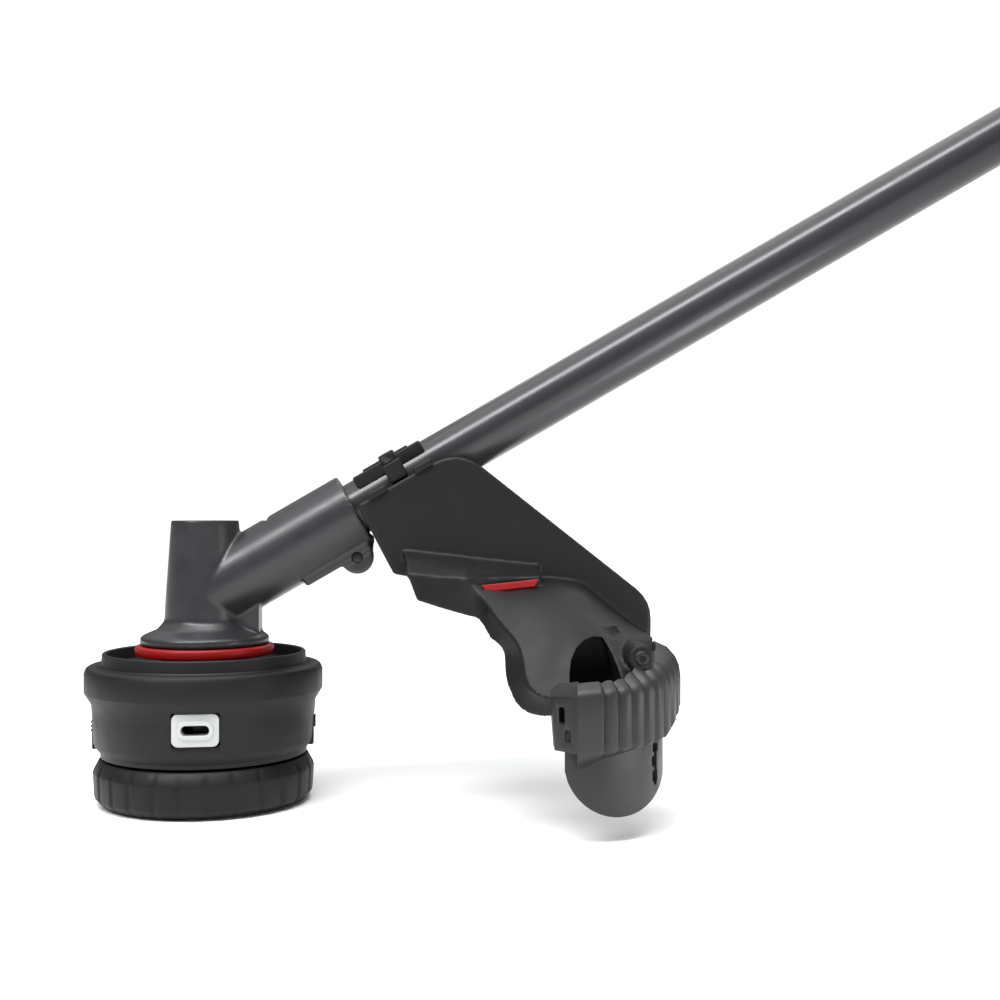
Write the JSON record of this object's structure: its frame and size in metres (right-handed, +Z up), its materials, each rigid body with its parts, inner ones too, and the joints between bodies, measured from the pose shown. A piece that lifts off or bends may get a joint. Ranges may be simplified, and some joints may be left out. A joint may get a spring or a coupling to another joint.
{
  "type": "string trimmer",
  "caption": "Shaft-drive string trimmer with an angled gear case, bump-feed line head, hooded debris guard, loop handle and a rear battery and motor housing.",
  "frame": {"origin": "centre of the bump knob's flat underside, on the line that the cutting head spins about", "axes": "+Z up along the head's spin line; +X towards the operator, along the level run of the shaft, which rises 30.25 degrees; Y across the tool, with +Y on the right as the operator looks towards the head"},
  "size_m": [1.4598, 0.198, 0.9358],
  "materials": {
    "black_plastic": "black moulded plastic with a fine matt grain",
    "grey_plastic": "dark grey moulded plastic, satin",
    "red_plastic": "red moulded plastic, satin",
    "eyelet_ceramic": "white glazed ceramic",
    "painted_tube": "dark grey satin powder coat on a steel tube",
    "cast_case": "dark grey satin paint on a die-cast case",
    "steel": "bare machined steel",
    "grip_rubber": "matt black rubber overmould",
    "bush_rubber": "black rubber",
    "nylon_line": "extruded nylon line",
    "circuit_board": "potted circuit board",
    "copper_winding": "enamelled copper winding on a laminated core"
  },
  "bodies": {
    "root": {"gear_case": "cast_case", "anti_wrap_collar": "red_plastic", "lower_bearing": "steel", "upper_bearing": "steel", "pinion_bearing": "steel", "case_clamp_bolt": "steel", "shaft_tube": "painted_tube", "shaft_bush_1": "bush_rubber", "shaft_bush_2": "bush_rubber", "shaft_bush_3": "bush_rubber", "guard_clamp": "black_plastic", "guard_clamp_screw_left": "steel", "guard_clamp_screw_right": "steel", "guard_shell": "black_plastic", "guard_bumper": "grey_plastic", "guard_skirt": "grey_plastic", "line_cutter": "steel", "line_cutter_screw": "steel", "guard_corner_screw": "steel", "tube_ferrule": "grip_rubber", "housing_left": "grey_plastic", "housing_right": "grey_plastic", "housing_screw_1": "steel", "housing_screw_2": "steel", "housing_screw_3": "steel", "housing_screw_4": "steel", "switch_module": "black_plastic", "control_board": "circuit_board", "trigger_pin": "steel", "motor_stator": "copper_winding", "motor_end_plate": "cast_case", "motor_bearing_front": "steel", "motor_bearing_rear": "steel"},
    "head": {"spool_housing": "black_plastic", "bump_cap": "black_plastic", "eyelet_front": "eyelet_ceramic", "eyelet_rear": "eyelet_ceramic", "spindle": "steel", "bevel_gear": "steel", "head_nut": "steel", "spool_spring": "steel"},
    "bump_spool": {"bump_knob": "black_plastic", "spool": "grey_plastic", "wound_line": "nylon_line"},
    "cap_latch_front": {"latch_tab_front": "black_plastic"},
    "cap_latch_rear": {"latch_tab_rear": "black_plastic"},
    "drive_line": {"pinion_gear": "steel", "drive_shaft": "steel", "motor_rotor": "steel", "cooling_fan": "grey_plastic"},
    "loop_handle": {"front_handle": "grip_rubber", "handle_clamp": "black_plastic", "handle_screw": "steel"},
    "clamp_knob": {"handle_knob": "black_plastic"},
    "trigger": {"trigger": "red_plastic"},
    "lock_off": {"lock_off_button": "red_plastic"},
    "speed_select": {"speed_button": "black_plastic"},
    "battery": {"battery_pack": "black_plastic"},
    "battery_release": {"battery_latch": "red_plastic"}
  },
  "joints": [
    {"name": "head_spin", "type": "hinge", "parent": "root", "child": "head", "pos_m": [0, 0, 0.05], "axis": [0, 0, 1], "continuous": true},
    {"name": "bump_press", "type": "slide", "parent": "head", "child": "bump_spool", "axis": [0, 0, 1], "range_m": [0, 0.006], "stiffness_N_per_m": 4000, "springref_m": -0.005, "deforming": ["spool_spring"]},
    {"name": "cap_latch_front_press", "type": "slide", "parent": "head", "child": "cap_latch_front", "axis": [0.999, 0.0454, 0], "range_m": [0, 0.0018], "stiffness_N_per_m": 800, "springref_m": -0.001},
    {"name": "cap_latch_rear_press", "type": "slide", "parent": "head", "child": "cap_latch_rear", "axis": [-0.999, -0.0454, 0], "range_m": [0, 0.0018], "stiffness_N_per_m": 800, "springref_m": -0.001},
    {"name": "drive_spin", "type": "hinge", "parent": "root", "child": "drive_line", "pos_m": [0, 0, 0.095], "axis": [0.8638, 0, 0.5038], "continuous": true},
    {"name": "handle_slide", "type": "slide", "parent": "root", "child": "loop_handle", "axis": [0.8638, 0, 0.5038], "range_m": [-0.1, 0.12]},
    {"name": "handle_knob_turn", "type": "hinge", "parent": "loop_handle", "child": "clamp_knob", "pos_m": [0.75801, 0.0215, 0.50233], "axis": [-0.5038, 0, 0.8638], "continuous": true},
    {"name": "trigger_pull", "type": "hinge", "parent": "root", "child": "trigger", "pos_m": [1.15797, 0, 0.74947], "axis": [0, 1, 0], "range_deg": [0, 6], "stiffness_Nm_per_rad": 0.8, "springref_deg": -5.73},
    {"name": "lock_off_press", "type": "slide", "parent": "root", "child": "lock_off", "axis": [0.5038, 0, -0.8638], "range_m": [0, 0.0022], "stiffness_N_per_m": 600, "springref_m": -0.002},
    {"name": "speed_press", "type": "slide", "parent": "root", "child": "speed_select", "axis": [0.5038, 0, -0.8638], "range_m": [0, 0.0015], "stiffness_N_per_m": 600, "springref_m": -0.002},
    {"name": "battery_slide", "type": "slide", "parent": "root", "child": "battery", "axis": [0.8638, 0, 0.5038], "range_m": [0, 0.09]},
    {"name": "battery_release_press", "type": "slide", "parent": "battery", "child": "battery_release", "axis": [0.5038, 0, -0.8638], "range_m": [0, 0.002], "stiffness_N_per_m": 600, "springref_m": -0.002}
  ],
  "couplings": [
    {"joint": "drive_spin", "follows": "head_spin", "ratio": -1.4167}
  ]
}
